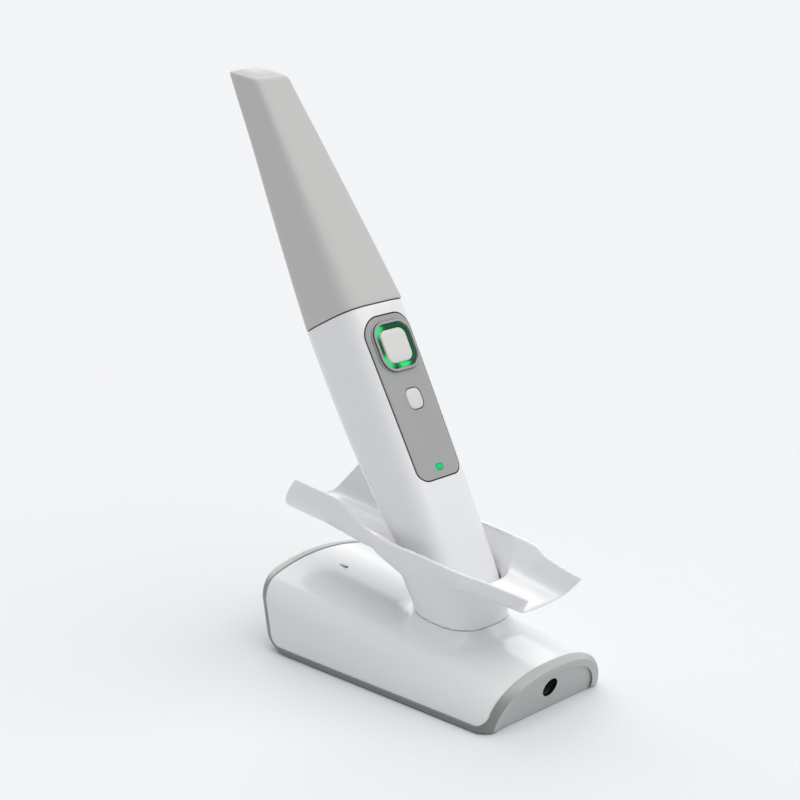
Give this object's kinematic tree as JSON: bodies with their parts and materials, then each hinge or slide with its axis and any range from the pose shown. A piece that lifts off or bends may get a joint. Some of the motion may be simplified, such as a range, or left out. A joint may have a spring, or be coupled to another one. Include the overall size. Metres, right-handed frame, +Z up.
{
  "type": "intraoral scanner",
  "caption": "Cordless dental scanner with a removable tapered tip, leaning in the trough-shaped cradle of its charging dock.",
  "frame": {"origin": "middle of the underside of the anti-slip pad, on the table", "axes": "+Z up, -Y the front where the buttons and the power jack face, +X across the dock"},
  "size_m": [0.0788, 0.1959, 0.264],
  "materials": {
    "gloss_white": "glossy moulded white plastic",
    "tip_grey": "satin warm light grey, autoclavable",
    "panel_grey": "satin mid grey",
    "chassis_grey": "smooth grey",
    "button_white": "satin off-white",
    "green_light": "translucent green, lit from behind",
    "clear_glass": "clear",
    "mirror_glass": "front-silvered",
    "black_rubber": "soft black",
    "black_plastic": "matte black",
    "board_green": "solder resist",
    "steel": "bright zinc plated",
    "contact_gold": "gold plated",
    "battery_wrap": "shrink sleeve"
  },
  "bodies": {
    "dock_and_grip": {"anti_slip_pad": "black_rubber", "ballast": "steel", "base_plate": "black_plastic", "base_screw_1": "steel", "base_screw_2": "steel", "base_screw_3": "steel", "base_screw_4": "steel", "battery": "battery_wrap", "camera_barrel": "black_plastic", "charging_pad_left": "contact_gold", "charging_pad_right": "contact_gold", "circuit_board": "board_green", "clamp_plate": "steel", "clamp_screw_1": "steel", "clamp_screw_2": "steel", "contact_block": "black_plastic", "contact_pin_left": "contact_gold", "contact_pin_right": "contact_gold", "control_panel": "panel_grey", "cradle": "gloss_white", "dock_board": "board_green", "dock_chassis": "chassis_grey", "dock_shell": "gloss_white", "housing": "gloss_white", "indicator_lens": "clear_glass", "light_ring": "green_light", "mode_switch": "black_plastic", "nose_tube": "black_plastic", "nose_window": "clear_glass", "optics_bridge": "steel", "power_jack": "black_plastic", "projector_barrel": "black_plastic", "scan_switch": "black_plastic", "seal_ring": "black_rubber", "status_lens": "green_light", "tail_cap": "chassis_grey"},
    "tip": {"tip_sleeve": "tip_grey", "tip_mirror": "mirror_glass"},
    "scan_key": {"scan_button": "button_white"},
    "mode_key": {"mode_button": "button_white"}
  },
  "joints": [
    {"name": "tip_slide", "type": "slide", "parent": "dock_and_grip", "child": "tip", "axis": [0, 0.4741, 0.8805], "range_m": [0, 0.07]},
    {"name": "scan_button_press", "type": "slide", "parent": "dock_and_grip", "child": "scan_key", "axis": [0, 0.8805, -0.4741], "range_m": [0, 0.0008], "stiffness_N_per_m": 1500, "springref_m": -0.0008},
    {"name": "mode_button_press", "type": "slide", "parent": "dock_and_grip", "child": "mode_key", "axis": [0, 0.8805, -0.4741], "range_m": [0, 0.0005], "stiffness_N_per_m": 1500, "springref_m": -0.0008}
  ]
}
